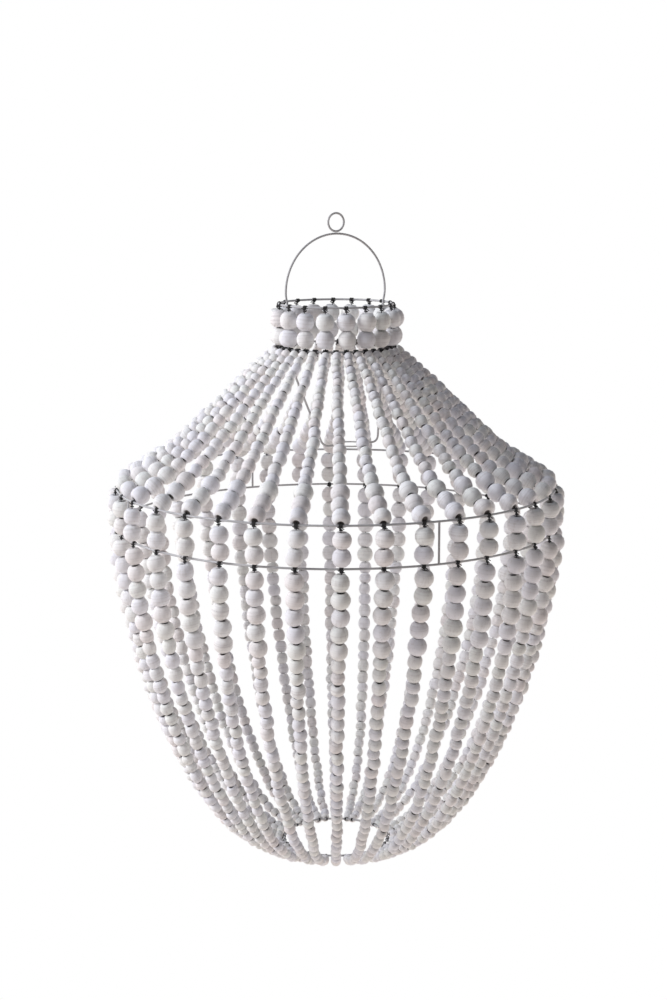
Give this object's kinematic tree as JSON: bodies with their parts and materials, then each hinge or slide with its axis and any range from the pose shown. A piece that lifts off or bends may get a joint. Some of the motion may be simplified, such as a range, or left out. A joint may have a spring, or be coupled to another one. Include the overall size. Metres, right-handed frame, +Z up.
{
  "type": "beaded chandelier",
  "caption": "Hanging lamp shade of strings of round beads tied to a welded wire frame, with a hanging loop above and a lampholder cradle inside.",
  "frame": {"origin": "top of the hanging loop's eye, where a hook bears", "axes": "+Z up along the middle of the chandelier; X runs across the bail; -Y is the front"},
  "size_m": [0.6518, 0.6518, 0.9199],
  "materials": {
    "frame_paint": "satin pale grey paint on steel wire",
    "beads": "matte white wash on turned wooden beads, on dark thread"
  },
  "bodies": {
    "root": {"hanging_loop": "frame_paint", "bail": "frame_paint", "collar_upper_ring": "frame_paint", "collar_lower_ring": "frame_paint", "shoulder_ring": "frame_paint", "waist_ring": "frame_paint", "foot_ring": "frame_paint", "band_strut_front": "frame_paint", "band_strut_right": "frame_paint", "band_strut_rear": "frame_paint", "band_strut_left": "frame_paint", "cradle_arm_right": "frame_paint", "cradle_arm_left": "frame_paint", "lampholder_ring": "frame_paint", "long_bead_string_01": "beads", "bead_string_02": "beads", "long_bead_string_03": "beads", "bead_string_04": "beads", "long_bead_string_05": "beads", "bead_string_06": "beads", "long_bead_string_07": "beads", "bead_string_08": "beads", "long_bead_string_09": "beads", "bead_string_10": "beads", "long_bead_string_11": "beads", "bead_string_12": "beads", "long_bead_string_13": "beads", "bead_string_14": "beads", "long_bead_string_15": "beads", "bead_string_16": "beads", "long_bead_string_17": "beads", "bead_string_18": "beads", "long_bead_string_19": "beads", "bead_string_20": "beads", "long_bead_string_21": "beads", "bead_string_22": "beads", "long_bead_string_23": "beads", "bead_string_24": "beads", "long_bead_string_25": "beads", "bead_string_26": "beads", "long_bead_string_27": "beads", "bead_string_28": "beads", "long_bead_string_29": "beads", "bead_string_30": "beads", "long_bead_string_31": "beads", "bead_string_32": "beads", "long_bead_string_33": "beads", "bead_string_34": "beads", "long_bead_string_35": "beads", "bead_string_36": "beads"}
  },
  "joints": []
}
